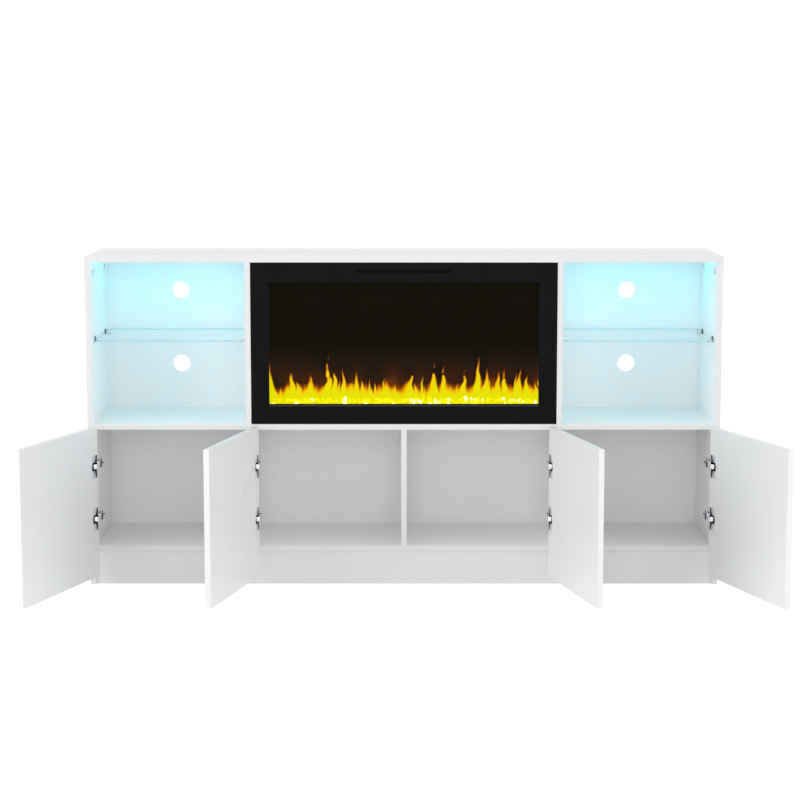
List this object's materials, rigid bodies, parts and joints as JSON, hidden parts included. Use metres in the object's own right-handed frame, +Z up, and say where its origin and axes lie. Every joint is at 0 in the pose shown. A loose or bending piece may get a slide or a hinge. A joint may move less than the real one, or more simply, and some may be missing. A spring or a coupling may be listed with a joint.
{
  "type": "fireplace tv stand",
  "caption": "White gloss television stand with an electric fireplace insert, hinged lower cabinets and lit open bays with glass shelves",
  "frame": {"origin": "on the floor at the middle of the carcass footprint, under the centre rail", "axes": "+X to the viewer's right along the stand, +Y from the front to the back, +Z up"},
  "size_m": [2.0602, 0.8421, 0.94],
  "materials": {
    "white_board": "white melamine-faced particle board",
    "white_gloss": "white high-gloss foil on particle board",
    "back_board": "white faced hardboard",
    "door_white": "white high-gloss front on particle board",
    "hinge_metal": "nickel-plated steel",
    "shelf_glass": "clear tempered glass, polished edges",
    "clip_metal": "plated zinc",
    "led_channel": "satin channel with a cyan light line",
    "insert_black": "black, satin",
    "smoked_glass": "dark tinted",
    "crystal": "clear cut resin crystals on a dark tray",
    "bright_metal": "bright",
    "plain_steel": "zinc-coated",
    "black_plastic": "moulded"
  },
  "bodies": {
    "carcass": {"side_left": "white_board", "side_right": "white_board", "divider_left": "white_board", "divider_right": "white_board", "mid_board_left": "white_board", "mid_board_centre": "white_board", "mid_board_right": "white_board", "bottom_board_left": "white_board", "bottom_board_centre": "white_board", "bottom_board_right": "white_board", "centre_divider": "white_board", "plinth": "white_board", "centre_rail": "white_board", "top_board": "white_gloss", "back_left": "back_board", "back_centre": "back_board", "back_right": "back_board", "hinge_arm_outer_left_lower": "hinge_metal", "hinge_arm_outer_left_upper": "hinge_metal", "hinge_arm_centre_left_lower": "hinge_metal", "hinge_arm_centre_left_upper": "hinge_metal", "hinge_arm_centre_right_lower": "hinge_metal", "hinge_arm_centre_right_upper": "hinge_metal", "hinge_arm_outer_right_lower": "hinge_metal", "hinge_arm_outer_right_upper": "hinge_metal", "glass_shelf_left": "shelf_glass", "glass_shelf_right": "shelf_glass", "shelf_clip_left_outer_front": "clip_metal", "shelf_clip_left_outer_rear": "clip_metal", "shelf_clip_left_inner_front": "clip_metal", "shelf_clip_left_inner_rear": "clip_metal", "shelf_clip_right_outer_front": "clip_metal", "shelf_clip_right_outer_rear": "clip_metal", "shelf_clip_right_inner_front": "clip_metal", "shelf_clip_right_inner_rear": "clip_metal", "led_strip_left": "led_channel", "led_strip_right": "led_channel", "front_frame": "insert_black", "insert_casing": "insert_black", "window_glass": "smoked_glass", "flame_screen": "smoked_glass", "ember_bed": "crystal", "light_bar": "bright_metal", "spindle_motor": "plain_steel", "heater_duct": "plain_steel", "control_box": "black_plastic"},
    "door_outer_left": {"door_outer_left": "door_white", "hinge_cup_outer_left_lower": "hinge_metal", "hinge_cup_outer_left_upper": "hinge_metal"},
    "door_centre_left": {"door_centre_left": "door_white", "hinge_cup_centre_left_lower": "hinge_metal", "hinge_cup_centre_left_upper": "hinge_metal"},
    "door_centre_right": {"door_centre_right": "door_white", "hinge_cup_centre_right_lower": "hinge_metal", "hinge_cup_centre_right_upper": "hinge_metal"},
    "door_outer_right": {"door_outer_right": "door_white", "hinge_cup_outer_right_lower": "hinge_metal", "hinge_cup_outer_right_upper": "hinge_metal"},
    "flame_spindle": {"flame_spindle": "bright_metal"},
    "blower_wheel": {"blower_wheel": "black_plastic"}
  },
  "joints": [
    {"name": "door_outer_left_hinge", "type": "hinge", "parent": "carcass", "child": "door_outer_left", "pos_m": [-0.891, -0.2162, 0.2725], "axis": [0, 0, -1], "range_deg": [-108.5, 0]},
    {"name": "door_centre_left_hinge", "type": "hinge", "parent": "carcass", "child": "door_centre_left", "pos_m": [-0.433, -0.2162, 0.2725], "axis": [0, 0, -1], "range_deg": [-103.5, 0]},
    {"name": "door_centre_right_hinge", "type": "hinge", "parent": "carcass", "child": "door_centre_right", "pos_m": [0.433, -0.2162, 0.2725], "axis": [0, 0, 1], "range_deg": [-103.5, 0]},
    {"name": "door_outer_right_hinge", "type": "hinge", "parent": "carcass", "child": "door_outer_right", "pos_m": [0.891, -0.2162, 0.2725], "axis": [0, 0, 1], "range_deg": [-108.5, 0]},
    {"name": "flame_spindle_spin", "type": "hinge", "parent": "carcass", "child": "flame_spindle", "pos_m": [0, -0.087, 0.536], "axis": [1, 0, 0], "continuous": true},
    {"name": "blower_wheel_spin", "type": "hinge", "parent": "carcass", "child": "blower_wheel", "pos_m": [0, -0.097, 0.896], "axis": [1, 0, 0], "continuous": true}
  ]
}
